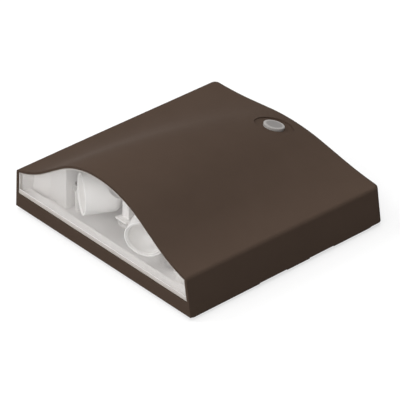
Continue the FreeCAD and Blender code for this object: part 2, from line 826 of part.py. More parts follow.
def make_post(side, name):
    """Swivel post: spigot through the tray, flange, column and the fork that holds the head's tongue."""
    inner = size.tongue_width / 2 + size.fork_gap
    outer = inner + size.fork_cheek
    seat = size.floor_height + size.boss_height + size.post_play - size.pivot_height
    foot = size.floor_height - size.tray_wall - size.post_play - size.post_nut - size.pivot_height
    fork = join(
        name + "_fork",
        block("fork", (-outer, -size.post_radius, -2 * size.post_radius), (outer, size.post_radius, 0.0)),
        along_x("fork_end", size.post_radius, -outer, outer),
    )
    slot = block(
        "slot", (-inner, -2 * size.post_radius, -size.tongue_radius - size.fork_floor),
        (inner, 2 * size.post_radius, 2 * size.post_radius),
    )
    column = join(
        name + "_column",
        rod("spigot", size.spigot_radius, seat - foot + 1.0, (0.0, 0.0, foot)),
        rod("flange", size.post_flange_radius, size.post_flange, (0.0, 0.0, seat)),
        rod("column", size.spigot_radius, -1.5 * size.post_radius - seat, (0.0, 0.0, seat)), fork,
    )
    pin_way = along_x("pin_way", size.pin_radius + size.pin_clearance, -outer - 1.0, outer + 1.0)
    keep_posed(name + "_swivel_post", cut(name + "_swivel_post", column, slot, pin_way), post_frame(side))
    ring = cut(
        name + "_post_nut", rod("nut", size.post_flange_radius, size.post_nut, (0.0, 0.0, foot)),
        rod("nut_bore", size.spigot_radius + size.fit_gap, 2 * size.post_nut, (0.0, 0.0, foot - 1.0)),
    )
    keep_posed(name + "_post_nut", ring, post_frame(side))
    screw = join(
        name + "_tilt_screw", along_x("shank", size.pin_radius, -outer - size.small_head_height, outer + 1.0),
        along_x("head", size.small_head, outer, outer + size.small_head_height),
        along_x("nut", size.small_head, -outer - size.small_head_height, -outer),
    )
    keep_posed(name + "_tilt_screw", screw, post_frame(side))


def is_deck_corner(edge):
    """Is this one of the deck's two upright edges next to the window?"""
    ends = [vertex.Point for vertex in edge.Vertexes]
    return abs(ends[0].z - ends[-1].z) > 0.5 and ends[0].y < number(back(size.deck_depth_front)) + 1


def make_deck():
    """White deck between and beside the heads, notched for their swing, with a lead column in the middle."""
    low, high = up(size.deck_height), up(size.deck_height + size.deck_thickness)
    corners = [
        (-size.deck_half, back(size.deck_depth_front)), (size.deck_half, back(size.deck_depth_front)),
        (size.deck_half_back, back(size.deck_depth_back)), (-size.deck_half_back, back(size.deck_depth_back)),
    ]
    plate = fillet(
        "deck_plate", prism("deck_form", corners, low, high), size.deck_corner,
        is_deck_corner,
    )
    tools = []
    screws = []
    for side in (-1, 1):
        near, far = sorted((side * size.web_half, side * size.notch_outer), key=number)
        tools.append(block("notch", (near, back(0.0), 0.0), (far, back(size.notch_depth), REACH)))
        at = (side * size.deck_screw_across, back(size.deck_screw_depth))
        tools.append(rod("deck_hole", size.small_pilot + size.fit_gap, REACH, (*at, 0.0)))
        tip = (*at, up(size.deck_height - 8.0))
        screws.append(join(
            "deck_screw", rod("shank", size.small_pilot - size.fit_gap, 8.0 + size.deck_thickness, tip),
            rod("head", size.small_head, size.small_head_height, (*at, high)),
        ))
    column = block(
        "column", (-size.column_half, back(size.column_front), low),
        (size.column_half, back(size.column_back), high + size.column_height),
    )
    keep("lamp_deck", join("lamp_deck", cut("deck_cut", plate, *tools), column))
    keep("deck_screws", group("deck_screws", *screws))


def make_button():
    """Push-to-test button in the recess, its return spring, the indicator and the switch body under it."""
    under = -size.recess_floor - size.recess_pad
    flange_top = under - size.button_gap / 3
    flange_low = flange_top - size.button_flange
    floor = under - size.switch_height + size.switch_floor
    stem = behind_button("button_stem", size.button_radius, flange_low, size.button_proud)
    flange = behind_button("button_flange", size.button_flange_radius, flange_low, flange_top)
    top = number(size.button_proud)
    rounded = fillet("button_cap", stem, 0.8, lambda edge: is_top_circle(edge, top))
    keep("test_button", join("test_button", rounded, flange))
    low = under - size.switch_flange_height
    cup = join(
        "switch_form", behind_button("switch_can", size.switch_radius, floor - size.switch_floor, under),
        behind_button("switch_flange", size.switch_flange, low, under),
    )
    space = behind_button("switch_space", size.button_flange_radius + 0.4, floor, under + 1.0)
    ways = [
        behind_button("switch_way", size.small_pilot, low - 1.0, under + 1.0, side * size.switch_screw_across)
        for side in (-1, 1)
    ]
    keep("switch_body", cut("switch_body", cup, space, *ways))
    keep("switch_screws", group("switch_screws", *[switch_screw(side, low) for side in (-1, 1)]))
    keep("indicator_led", behind_button("indicator_led", 2.5, floor, floor + 6.0))
    make_spring(floor, flange_low)


def is_top_circle(edge, level):
    axis = Vector(0, number(sine(size.recess_tilt)), number(cosine(size.recess_tilt)))
    origin = Vector(0, number(back(size.recess_place)), number(up(ridge(size.recess_place))))
    return len(edge.Vertexes) == 1 and abs((edge.Vertexes[0].Point - origin).dot(axis) - level) < 0.01


def switch_screw(side, low):
    """A screw through the switch's flange into the pad under the recess."""
    across = side * size.switch_screw_across
    radius = size.small_pilot - size.fit_gap
    return join(
        "switch_screw", behind_button("shank", radius, low, low + size.switch_flange_height + 2.0, across),
        behind_button("head", 1.9, low - 1.4, low, across),
    )


def make_spring(low, high):
    """Coil spring: a round wire swept along a helix."""
    radius, wire = number(size.spring_radius), number(size.spring_wire)
    height = number(high) - number(low) - 2 * wire
    helix = Part.makeHelix(height / 4, height, radius)
    section = Part.Wire(Part.makeCircle(wire, Vector(radius, 0, 0), Vector(0, 1, 0)))
    coil = Part.Wire(helix).makePipeShell([section], True, False)
    spring = doc.addObject("Part::Feature", "button_spring")
    spring.Shape = coil
    start = number(low) + wire
    tilt = math.radians(number(size.recess_tilt))
    base = Vector(
        0, number(back(size.recess_place)) + start * math.sin(tilt),
        number(up(ridge(size.recess_place))) + start * math.cos(tilt),
    )
    spring.Placement = Placement(base, Rotation(Vector(1, 0, 0), -number(size.recess_tilt)))
    keep("button_spring", spring)


def plate_form(name, inset, corner, low, high):
    """Plan outline that follows the housing's inside, with rounded rear corners."""
    half_front = size.housing_width / 2 - size.wall - size.plate_gap - inset
    half_back = half_front - size.plan_taper * size.housing_depth
    front = back(size.lip_thickness + size.plate_gap + inset)
    rear = back(size.housing_depth - size.wall - size.plate_gap - inset)
    corners = [(-half_front, front), (half_front, front), (half_back, rear), (-half_back, rear)]
    solid = prism(name + "_form", corners, low, high)
    front_rounded = fillet(name + "_front", solid, size.plate_front_corner, lambda edge: is_corner(edge, -1))
    return fillet(name, front_rounded, corner, lambda edge: is_corner(edge, 1))


def is_corner(edge, end):
    """Is this upright edge of a plan outline at its front (-1) or its rear (1)?"""
    ends = [vertex.Point for vertex in edge.Vertexes]
    upright = abs(ends[0].z - ends[-1].z) > 0.5
    return upright and ends[0].y * end > number(size.housing_depth) / 2 - 25


def slot(name, centre, along):
    """A slot through the plate: two ends and the straight part between them."""
    reach = size.slot_length / 2 - size.slot_radius
    ends = []
    for side in (-1, 1):
        at = list(centre)
        at[along] = centre[along] + side * reach
        ends.append(rod("slot_end", size.slot_radius, REACH, (*at, -REACH / 2)))
    half = [size.slot_radius, size.slot_radius]
    half[along] = reach
    low = (centre[0] - half[0], centre[1] - half[1], -REACH / 2)
    high = (centre[0] + half[0], centre[1] + half[1], REACH / 2)
    return join(name, block("slot_middle", low, high), *ends)


PLATE_NOTCHES = ((83.0, 115.0), (141.0, 169.0))     # depths of the shallow notches in the side edges


def make_plate(cavity):
    base = plate_form("plate_base", 0.0, size.plate_corner, 0.0, size.plate_lift)
    rim = cut(
        "plate_rim", plate_form("rim_outside", size.rim_offset, size.rim_corner, 0.0, up(size.rim_height)),
        plate_form("rim_inside", size.rim_offset + size.rim_wall, size.rim_corner - 1.0, -5.0, up(REACH)),
    )
    tabs, holes = [], []
    rear = size.housing_depth - size.wall - 3.5
    tab_front = size.lip_thickness + size.plate_gap + size.rim_offset
    hook_low = size.ledge_low + 2.0 + size.plate_gap
    for side in (-1, 1):
        centre = side * size.hook_across
        left, right = centre - size.hook_half, centre + size.hook_half
        tabs.append(block(
            "tab", (left, back(tab_front), up(0.0)),
            (right, back(tab_front + size.rim_wall), up(hook_low + size.hook_thickness)),
        ))
        tabs.append(block(
            "hook", (left, back(tab_front - size.hook_reach), up(hook_low)),
            (right, back(tab_front + 1.0), up(hook_low + size.hook_thickness)),
        ))
        lug = side * size.cover_screw_across
        tabs.append(block(
            "lug", (lug - size.lug_half, back(rear - size.lug_depth), up(0.0)),
            (lug + size.lug_half, back(rear), up(size.cover_screw_height + 6.0)),
        ))
        at = (lug, back(rear - size.lug_depth - 1.0), up(size.cover_screw_height))
        holes.append(rod("lug_hole", size.cover_screw_radius, 30.0, at, Vector(1, 0, 0), -90))
        holes.append(slot("box_slot", (side * size.box_slot_pitch / 2, 0.0), 0))
        holes.append(slot("gang_slot", (0.0, side * size.gang_slot_pitch / 2), 1))
        for end in (-1, 1):
            at = (side * size.wall_screw_across, end * size.wall_screw_along, -REACH / 2)
            holes.append(rod("wall_hole", size.slot_radius, REACH, at))
        for start, stop in PLATE_NOTCHES:
            edge = size.housing_width / 2 - size.wall - size.plate_gap - size.plan_taper * (start + stop) / 2
            near, far = sorted((side * (edge - size.plate_notch), side * (edge + 5.0)), key=number)
            holes.append(block("notch", (near, back(start), -1.0), (far, back(stop), size.plate_lift + 1.0)))
    holes.append(rod("entry", size.entry_radius, REACH, (0.0, 0.0, -REACH / 2)))
    keep("back_plate", cut("back_plate", join("plate_whole", base, rim, *tabs), *holes))
    band_front = back(size.lip_thickness + 0.1)
    band = block("gasket_band", (-REACH, band_front, up(0.0)), (REACH, REACH, up(size.gasket_height)))
    outside = common("gasket_outside", cavity, band)
    inside = plate_form("gasket_inside", size.rim_offset, size.rim_corner, -5.0, up(REACH))
    keep("rim_gasket", cut("rim_gasket", outside, inside))
    make_grommet()


def make_grommet():
    """Rubber ring that grips the edge of the plate's cable entry."""
    lip = size.entry_radius + size.grommet_lip
    neck = size.entry_radius - size.fit_gap
    ring = turned("grommet_ring", [
        (size.grommet_bore, 0.0), (neck, 0.0), (neck, size.plate_lift),
        (lip, size.plate_lift), (lip, size.plate_lift + size.grommet_lip_height),
        (size.grommet_bore, size.plate_lift + size.grommet_lip_height),
    ])
    keep("wire_grommet", ring)


def make_fasteners():
    """Cover screws through the rear wall, tray screws and gear screws from the wall side."""
    seat = size.housing_depth - size.back_draft * size.cover_screw_height - size.screw_seat
    rear = size.housing_depth - size.wall - 3.5 - size.lug_depth + 0.2
    cover, tray, gear = [], [], []
    for side in (-1, 1):
        across, height = side * size.cover_screw_across, up(size.cover_screw_height)
        tip, head = (across, back(rear), height), (across, back(seat), height)
        cover.append(join(
            "cover_screw",
            rod("shank", size.cover_screw_radius - size.fit_gap, seat - rear, tip, Vector(1, 0, 0), -90),
            rod("head", size.cover_head_radius, 2.2, head, Vector(1, 0, 0), -90),
        ))
        for index, (place_across, depth, start) in enumerate(BOSS_PLACES):
            sheet_thickness = size.tray_wall if index < 2 else size.sheet_metal
            low = start - sheet_thickness - (0.2 if index < 2 else 0.1)
            at = (side * place_across, back(depth))
            screw = join(
                "boss_screw", rod("shank", size.pilot_radius - size.fit_gap, 10.0, (*at, up(low))),
                rod("head", size.pan_head, size.pan_head_height, (*at, up(low - size.pan_head_height))),
            )
            (tray if index < 2 else gear).append(screw)
    keep("cover_screws", group("cover_screws", *cover))
    keep("tray_screws", group("tray_screws", *tray))
    keep("gear_screws", group("gear_screws", *gear))


def make_gear():
    low, high = size.gear_height, size.gear_height + size.sheet_metal
    front, rear = size.gear_front, size.gear_back
    deck = block("gear_deck", (-size.gear_half, back(front), up(low)), (size.gear_half, back(rear), up(high)))
    front_flange = block(
        "gear_front_flange", (-size.gear_half, back(front), up(low - size.gear_flange)),
        (size.gear_half, back(front + size.sheet_metal), up(high)),
    )
    rear_flange = block(
        "gear_rear_flange", (-size.gear_half, back(rear - size.sheet_metal), up(low - size.gear_flange)),
        (size.gear_half, back(rear), up(high)),
    )
    holes = [rod("gear_window", size.gear_window, REACH, (0.0, 0.0, 0.0))]
    holes += [
        rod("strap_pilot", size.small_pilot, 4.0, (strap_middle(), back(screw), up(low - 1.0)))
        for start, screw in strap_feet()
    ]
    for side in (-1, 1):
        for depth in (size.gear_screw_front, size.gear_screw_back):
            at = (side * size.gear_screw_across, back(depth), 0.0)
            holes.append(rod("gear_hole", size.cover_screw_radius + 0.2, REACH, at))
    keep("gear_tray", cut("gear_tray", join("gear_whole", deck, front_flange, rear_flange), *holes))
    make_battery(high)
    make_board(high)


def strap_middle():
    return size.cell_start + size.cell_length / 2


def strap_feet():
    """Depth where each foot of the strap starts, and depth of its screw."""
    front = size.cell_depth - size.cell_radius - 0.2 - size.sheet_metal - size.strap_foot
    rear = size.cell_depth + (CELLS - 1) * size.cell_pitch + size.cell_radius + 0.2 + size.sheet_metal
    return [(start, start + size.strap_foot / 2) for start in (front, rear)]


CELLS = 4


def make_battery(deck):
    """Cells side by side under a sheet metal strap."""
    cells = []
    for index in range(CELLS):
        at = (size.cell_start, back(size.cell_depth + index * size.cell_pitch), up(deck + size.cell_radius))
        cells.append(rod("cell", size.cell_radius, size.cell_length, at, Vector(0, 1, 0), 90))
    keep("battery_cells", group("battery_cells", *cells))
    middle, metal = strap_middle(), size.sheet_metal
    left, right = middle - size.strap_width / 2, middle + size.strap_width / 2
    (front_foot, _), (rear_foot, _) = strap_feet()
    front, rear = front_foot + size.strap_foot, rear_foot
    top = deck + 2 * size.cell_radius + 0.2
    arch = block("arch", (left, back(front), up(deck)), (right, back(rear), up(top + metal)))
    inside = block(
        "arch_inside", (left - 1.0, back(front + metal), up(deck - 1.0)),
        (right + 1.0, back(rear - metal), up(top)),
    )
    feet, holes, screws = [], [], []
    for start, screw in strap_feet():
        foot_high = (right, back(start + size.strap_foot), up(deck + metal))
        feet.append(block("foot", (left, back(start), up(deck)), foot_high))
        at = (middle, back(screw))
        holes.append(rod("foot_hole", size.small_pilot, REACH, (*at, 0.0)))
        screws.append(join(
            "strap_screw", rod("shank", size.small_pilot - size.fit_gap, 2 * metal, (*at, up(deck - metal))),
            rod("head", size.small_head, size.small_head_height, (*at, up(deck + metal))),
        ))
    strap = join("strap_whole", cut("strap_arch", arch, inside), *feet)
    keep("battery_strap", cut("battery_strap", strap, *holes))
    keep("strap_screws", group("strap_screws", *screws))


def make_board(deck):
    """Control board on four standoffs, with its transformer, capacitors, terminal block and heat sink."""
    left, front = size.board_left, size.board_front
    low = deck + size.standoff_height
    high = low + size.board_thickness
    right, rear = left + size.board_width, front + size.board_depth
    posts, screws, holes = [], [], []
    for across in (left + size.board_margin, right - size.board_margin):
        for depth in (front + size.board_margin, rear - size.board_margin):
            at = (across, back(depth))
            posts.append(cut(
                "standoff", rod("post", size.standoff_radius, size.standoff_height, (*at, up(deck))),
                rod("thread", size.small_pilot, 5.0, (*at, up(low - 4.0))),
            ))
            holes.append(rod("board_hole", size.small_pilot, 4.0, (*at, up(low - 1.0))))
            tip = (*at, up(low - 3.5))
            screws.append(join(
                "board_screw", rod("shank", size.small_pilot - size.fit_gap, size.board_thickness + 3.5, tip),
                rod("head", size.small_head, size.small_head_height, (*at, up(high))),
            ))
    keep("board_standoffs", group("board_standoffs", *posts))
    keep("board_screws", group("board_screws", *screws))
    board = block("board", (left, back(front), up(low)), (right, back(rear), up(high)))
    keep("control_board", cut("control_board", board, *holes))

    def lump(name, near, far, bottom, top):
        """A block on the board between two corners counted from the board's own corner."""
        return block(
            name, (left + near[0], back(front + near[1]), up(high + bottom)),
            (left + far[0], back(front + far[1]), up(high + top)),
        )

    winding = lump("winding", (46.0, 44.0), (72.0, 62.0), 3.0, 17.0)
    keep("transformer", join("transformer", winding, lump("core", (50.0, 40.0), (68.0, 66.0), 0.0, 20.0)))
    tubes = [
        rod("capacitor", 5.0, length, (left + 34.0, back(front + along), up(high)))
        for along, length in ((46.0, 14.0), (58.0, 11.0))
    ]
    keep("capacitors", group("capacitors", *tubes))
    terminal = lump("terminal", (40.0, 4.0), (66.0, 14.0), 0.0, 11.0)
    wells = [
        rod("well", 2.0, 9.0, (left + 44.5 + 6.0 * index, back(front + 9.0), up(high + 5.0)))
        for index in range(4)
    ]
    keep("terminal_block", cut("terminal_block", terminal, *wells))
    spine = lump("spine", (12.0, 14.0), (34.0, 17.0), 0.0, 11.0)
    fins = [
        lump("fin", (12.0 + 5.0 * index, 6.0), (14.0 + 5.0 * index, 15.0), 0.0, 11.0) for index in range(5)
    ]
    keep("heat_sink", join("heat_sink", spine, *fins))


def export():
    """Check every object, then write one file per node."""
    doc.recompute()
    for thing in doc.Objects:
        if "Invalid" in thing.State or "Error" in thing.State:
            raise RuntimeError(f"{thing.Name} did not build: {thing.State}")
    for node, thing in parts.items():
        if thing.Shape.isNull() or not thing.Shape.isValid():
            raise RuntimeError(f"{node} has no valid shape")
    os.makedirs("parts", exist_ok=True)
    for node, thing in parts.items():
        thing.Shape.exportStep(f"parts/{node}.step")
        print(f"{node}: {len(thing.Shape.Solids)} solids, {thing.Shape.Volume:.0f} mm3")


housing_cavity = make_housing()
make_window(housing_cavity)
make_tray()
make_lead_grommet()
for side, name in ((-1, "left"), (1, "right")):
    make_head(side, name)
    make_post(side, name)
make_deck()
make_button()
make_plate(housing_cavity)
make_fasteners()
make_gear()
export()
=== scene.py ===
# Wall pack light lying on its back plate: dark cast housing, clear window, two small lamp heads.
# Metres. Z is away from the wall, the window looks to -Y, X is across.
import math
import bpy
import numpy as np
from mathutils import Matrix, Vector


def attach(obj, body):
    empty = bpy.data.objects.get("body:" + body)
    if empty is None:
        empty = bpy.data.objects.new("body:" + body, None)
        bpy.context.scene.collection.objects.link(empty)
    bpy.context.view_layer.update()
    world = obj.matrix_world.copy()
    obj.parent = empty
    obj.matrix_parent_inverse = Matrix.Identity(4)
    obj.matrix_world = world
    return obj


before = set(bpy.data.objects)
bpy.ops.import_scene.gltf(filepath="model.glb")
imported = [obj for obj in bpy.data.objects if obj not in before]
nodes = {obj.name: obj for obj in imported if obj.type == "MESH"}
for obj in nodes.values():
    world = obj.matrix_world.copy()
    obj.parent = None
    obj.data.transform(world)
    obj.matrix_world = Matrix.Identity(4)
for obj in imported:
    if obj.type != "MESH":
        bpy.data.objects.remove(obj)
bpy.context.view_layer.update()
print("frame loaded:", len(nodes), "nodes")


class Shader:
    # a material whose nodes are added one call at a time
    def __init__(self, name):
        self.material = bpy.data.materials.new(name)
        self.material.use_nodes = True
        self.tree = self.material.node_tree
        self.bsdf = self.tree.nodes["Principled BSDF"]
        self.place = self.add("ShaderNodeTexCoord").outputs["Object"]

    def add(self, kind, **sockets):
        node = self.tree.nodes.new(kind)
        for name, value in sockets.items():
            self.feed(node, name.replace("_", " "), value)
        return node

    def feed(self, node, name, value):
        socket = node.inputs[name]
        if isinstance(value, bpy.types.NodeSocket):
            self.tree.links.new(value, socket)
        elif isinstance(value, tuple) and socket.type == "RGBA" and len(value) == 3:
            socket.default_value = (*value, 1.0)
        else:
            socket.default_value = value

    def set(self, **sockets):
        for name, value in sockets.items():
            self.feed(self.bsdf, name.replace("_", " "), value)

    def noise(self, scale, detail=2.0, rough=0.5, stretch=None):
        place = self.place
        if stretch:
            place = self.add("ShaderNodeMapping", Vector=place, Scale=stretch).outputs["Vector"]
        node = self.add("ShaderNodeTexNoise", Vector=place, Scale=scale, Detail=detail, Roughness=rough)
        return node.outputs["Fac"]

    def spread(self, fac, low, high, outLow, outHigh):
        node = self.add("ShaderNodeMapRange", Value=fac)
        for name, value in (("From Min", low), ("From Max", high), ("To Min", outLow), ("To Max", outHigh)):
            self.feed(node, name, value)
        return node.outputs["Result"]

    def blendColours(self, fac, first, second):
        node = self.add("ShaderNodeMix")
        node.data_type = "RGBA"
        self.feed(node, "Factor", fac)
        self.feed(node, 6, first)
        self.feed(node, 7, second)
        return node.outputs[2]

    def bump(self, height, strength, distance):
        node = self.add("ShaderNodeBump", Height=height, Strength=strength, Distance=distance)
        self.feed(self.bsdf, "Normal", node.outputs["Normal"])


# noise sizes below are (scale, detail, roughness); bumps are (strength, depth)
powder = {
    "cloud": (28.0, 3.0, 0.55), "peel": (900.0, 2.0, 0.5), "bump": (0.15, 0.0003),
    "smoother": 0.04, "rougher": 0.05,
}


def powderCoat(name, colour, dark, rough, gloss):
    # sprayed powder: millimetre orange peel, faint clouding of the colour, satin gloss
    shader = Shader(name)
    cloud, peel = shader.noise(*powder["cloud"]), shader.noise(*powder["peel"])
    shader.set(
        Base_Color=shader.blendColours(shader.spread(cloud, 0.3, 0.7, 0.0, 1.0), colour, dark),
        Roughness=shader.spread(peel, 0.3, 0.7, rough - powder["smoother"], rough + powder["rougher"]),
        Specular_IOR_Level=gloss,
    )
    shader.bump(peel, *powder["bump"])
    return shader.material


moulding = {"drift": (35.0, 2.0, 0.5), "skin": (1600.0, 2.0, 0.6), "uneven": 0.03, "depth": 0.0002}


def mouldedPlastic(name, colour, shade, rough, grain=0.05, gloss=0.4):
    # injection moulding: slow drift of the colour and a very fine skin
    shader = Shader(name)
    drift, skin = shader.noise(*moulding["drift"]), shader.noise(*moulding["skin"])
    shader.set(
        Base_Color=shader.blendColours(shader.spread(drift, 0.35, 0.65, 0.0, 1.0), colour, shade),
        Roughness=shader.spread(skin, 0.3, 0.7, rough - moulding["uneven"], rough + moulding["uneven"]),
        Specular_IOR_Level=gloss,
    )
    shader.bump(skin, grain, moulding["depth"])
    return shader.material


metal = {
    "streak": (420.0, 3.0, 0.6), "shade": 0.82, "bump": (0.05, 0.0002), "smoother": 0.05, "rougher": 0.08,
}


def turnedMetal(name, colour, rough, stretch=(1.0, 1.0, 14.0)):
    # drawn or turned metal: streaks along one way, a little colour change between them
    shader = Shader(name)
    streak = shader.noise(*metal["streak"], stretch)
    shade = tuple(value * metal["shade"] for value in colour)
    shader.set(
        Base_Color=shader.blendColours(streak, colour, shade),
        Metallic=1.0,
        Roughness=shader.spread(streak, 0.3, 0.7, rough - metal["smoother"], rough + metal["rougher"]),
    )
    shader.bump(streak, *metal["bump"])
    return shader.material


acrylic = {"haze": (18.0, 2.0, 0.5), "shade": 0.97, "ior": 1.49}


def clearPane(name, tint, alpha, rough):
    # moulded clear plastic: mostly see-through, a thin haze, sharp gloss
    shader = Shader(name)
    hazy = tuple(value * acrylic["shade"] for value in tint)
    shader.set(
        Base_Color=shader.blendColours(shader.noise(*acrylic["haze"]), tint, hazy),
        Roughness=rough, Alpha=alpha, IOR=acrylic["ior"],
    )
    return shader.material


# the button's paler rim colour is a painted highlight along the edge of the lens
button = {
    "dish": (0.175, 0.162, 0.155), "rim": (0.34, 0.322, 0.308), "dishEdge": 0.0066, "rimHighlightEdge": 0.0080,
    "lean": 18.3, "rough": (0.28, 0.36), "gloss": 0.3, "bump": (0.02, 0.0002),
}


def pressLens(name):
    # frosted button: grey dish inside a paler rim, the paler rim a painted highlight along the lens edge, told
    # apart by the distance from the button's own axis
    shader = Shader(name)
    corners = np.array([corner.co for corner in nodes["test_button"].data.vertices])
    slant = math.radians(button["lean"])
    fromAxis = shader.place
    for operation, value in (
        ("SUBTRACT", tuple(corners.mean(axis=0))),
        ("CROSS_PRODUCT", (0.0, math.sin(slant), math.cos(slant))),
    ):
        step = shader.add("ShaderNodeVectorMath")
        step.operation = operation
        shader.feed(step, 0, fromAxis)
        shader.feed(step, 1, value)
        fromAxis = step.outputs["Vector"]
    distance = shader.add("ShaderNodeVectorMath")
    distance.operation = "LENGTH"
    shader.feed(distance, 0, fromAxis)
    edge = shader.spread(distance.outputs["Value"], button["dishEdge"], button["rimHighlightEdge"], 0.0, 1.0)
    skin = shader.noise(*moulding["skin"])
    shader.set(
        Base_Color=shader.blendColours(edge, button["dish"], button["rim"]),
        Roughness=shader.spread(skin, 0.3, 0.7, *button["rough"]), Specular_IOR_Level=button["gloss"],
    )
    shader.bump(skin, *button["bump"])
    return shader.material


bronze = powderCoat("bronzePowder", (0.0770, 0.0530, 0.0400), (0.0725, 0.0498, 0.0374), 0.62, 0.01)
plateBronze = powderCoat("plateBronze", (0.066, 0.0455, 0.0345), (0.062, 0.0428, 0.0322), 0.64, 0.01)
white = mouldedPlastic("whiteMoulding", (0.90, 0.875, 0.855), (0.88, 0.857, 0.838), 0.45)
headWhite = mouldedPlastic("headWhite", (0.93, 0.912, 0.895), (0.915, 0.897, 0.88), 0.40)
blackRubber = mouldedPlastic("blackRubber", (0.030, 0.030, 0.030), (0.024, 0.024, 0.024), 0.72, 0.2)
clearWindow = clearPane("clearWindow", (0.93, 0.925, 0.92), 0.06, 0.05)
# mid brown of the pane's rim: painted refraction, the housing wall seen through the pane edge
paneEdgePaintedRefraction = mouldedPlastic("paneEdgePaintedRefraction", (0.55, 0.505, 0.47), (0.52, 0.478, 0.445), 0.35, 0.02)
# pale colour of the pane's inner bead: painted highlight, the bright line along the pane edge
paneBeadPaintedHighlight = mouldedPlastic("paneBeadPaintedHighlight", (0.86, 0.84, 0.825), (0.83, 0.81, 0.80), 0.35, 0.02)
gasketTint = mouldedPlastic("paneSeal", (0.62, 0.58, 0.54), (0.58, 0.54, 0.50), 0.45)
zinc = turnedMetal("zincScrew", (0.40, 0.385, 0.37), 0.38)
brightBowl = mouldedPlastic("brightBowl", (0.88, 0.86, 0.84), (0.865, 0.845, 0.825), 0.22, 0.02)
boardWhite = mouldedPlastic("boardWhite", (0.74, 0.74, 0.70), (0.72, 0.72, 0.68), 0.4)
gearPaint = powderCoat("gearPaint", (0.66, 0.66, 0.65), (0.62, 0.62, 0.61), 0.45, 0.3)
greyLens = pressLens("greyLens")
blackPlastic = mouldedPlastic("blackPlastic", (0.028, 0.028, 0.028), (0.022, 0.022, 0.022), 0.45, 0.1)
springWire = turnedMetal("springWire", (0.52, 0.51, 0.49), 0.3)
redLamp = mouldedPlastic("redLamp", (0.45, 0.03, 0.02), (0.40, 0.025, 0.02), 0.25)
cellSleeve = mouldedPlastic("cellSleeve", (0.05, 0.16, 0.08), (0.045, 0.14, 0.07), 0.3)
boardGreen = mouldedPlastic("boardGreen", (0.02, 0.13, 0.06), (0.018, 0.11, 0.05), 0.35)
coreSteel = turnedMetal("coreSteel", (0.28, 0.27, 0.26), 0.5, (14.0, 1.0, 1.0))
canSilver = turnedMetal("canSilver", (0.55, 0.56, 0.58), 0.35)
terminalGreen = mouldedPlastic("terminalGreen", (0.04, 0.25, 0.10), (0.035, 0.22, 0.09), 0.4)
plainAluminium = turnedMetal("plainAluminium", (0.62, 0.62, 0.63), 0.38)

finishes = {
    "housing": bronze, "back_plate": plateBronze, "wire_grommet": blackRubber, "rim_gasket": blackRubber,
    "cover_screws": zinc, "front_lens": clearWindow, "lens_gasket": gasketTint, "reflector_tray": white,
    "lead_grommet": blackRubber, "tray_screws": zinc, "lamp_deck": white, "deck_screws": zinc,
    "gear_tray": gearPaint, "gear_screws": zinc, "control_board": boardGreen, "board_standoffs": plainAluminium,
    "board_screws": zinc, "transformer": coreSteel, "capacitors": canSilver, "terminal_block": terminalGreen,
    "heat_sink": plainAluminium, "battery_cells": cellSleeve, "battery_strap": gearPaint, "strap_screws": zinc,
    "switch_body": blackPlastic, "switch_screws": zinc, "indicator_led": redLamp, "button_spring": springWire,
    "test_button": greyLens,
}
for side in ("left", "right"):
    finishes.update({
        side + "_swivel_post": headWhite, side + "_post_nut": zinc, side + "_tilt_screw": zinc,
        side + "_lamp_head": headWhite, side + "_reflector": brightBowl, side + "_led_board": boardWhite,
        side + "_lock_screw": zinc,
    })
for name, node in nodes.items():
    node.data.materials.clear()
    node.data.materials.append(finishes[name])
print("finishes given to", len(finishes), "nodes")


def closedTube(name, grid, material, body, smooth=True):
    # skin over a grid (rows, columns, 3) of points that joins up both ways, one row for each section; it faces
    # outwards where row direction x section direction does
    rows, columns = grid.shape[:2]
    index = np.arange(rows * columns).reshape(rows, columns)
    after, beside = np.roll(index, -1, axis=0), np.roll(index, -1, axis=1)
    quads = np.stack([index, after, np.roll(after, -1, axis=1), beside], axis=-1).reshape(-1, 4)
    mesh = bpy.data.meshes.new(name)
    mesh.from_pydata(grid.reshape(-1, 3).tolist(), [], quads.tolist())
    mesh.polygons.foreach_set("use_smooth", np.full(len(quads), smooth))
    mesh.update()
    mesh.materials.append(material)
    piece = bpy.data.objects.new(name, mesh)
    bpy.context.scene.collection.objects.link(piece)
    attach(piece, body)
    return piece


# The window leans about X through its lower front edge: paneUp runs up it, paneIn runs through it.
window = {"corner": (0.0, -0.112, 0.0034), "lean": 3.36, "setback": 0.0008, "flatness": 0.0002, "low": 0.007}
lean = math.radians(window["lean"])
paneAcross = np.array((1.0, 0.0, 0.0))
paneUp = np.array((0.0, -math.sin(lean), math.cos(lean)))
paneIn = np.array((0.0, math.cos(lean), math.sin(lean)))


def paneOutline():
    # (across, height) of the pane's outer edge in order: ends of the edges that only one triangle of the front
    # face uses, sorted by their angle about a point low in its middle
    mesh = nodes["front_lens"].data
    mesh.calc_loop_triangles()
    places = np.empty(3 * len(mesh.vertices), dtype=np.float32)
    mesh.vertices.foreach_get("co", places)
    places = places.reshape(-1, 3) - np.array(window["corner"])
    triangles = np.empty(3 * len(mesh.loop_triangles), dtype=np.int32)
    mesh.loop_triangles.foreach_get("vertices", triangles)
    triangles = triangles.reshape(-1, 3)
    depth = places @ paneIn
    front = np.all(np.abs(depth[triangles] - window["setback"]) < window["flatness"], axis=1)
    edges = np.sort(triangles[front][:, [[0, 1], [1, 2], [2, 0]]].reshape(-1, 2), axis=1)
    edges, uses = np.unique(edges, axis=0, return_counts=True)
    rim = places[np.unique(edges[uses == 1])] @ np.stack([paneAcross, paneUp], axis=1)
    return rim[np.argsort(np.arctan2(rim[:, 1] - window["low"], rim[:, 0]))]


def onPane(flat, front):
    # (across, height) points on the leaning pane, set through it: corner + across X + height up + front in
    base = np.array(window["corner"]) + flat @ np.stack([paneAcross, paneUp])
    return base + np.broadcast_to(front, flat.shape[:-1])[..., None] * paneIn


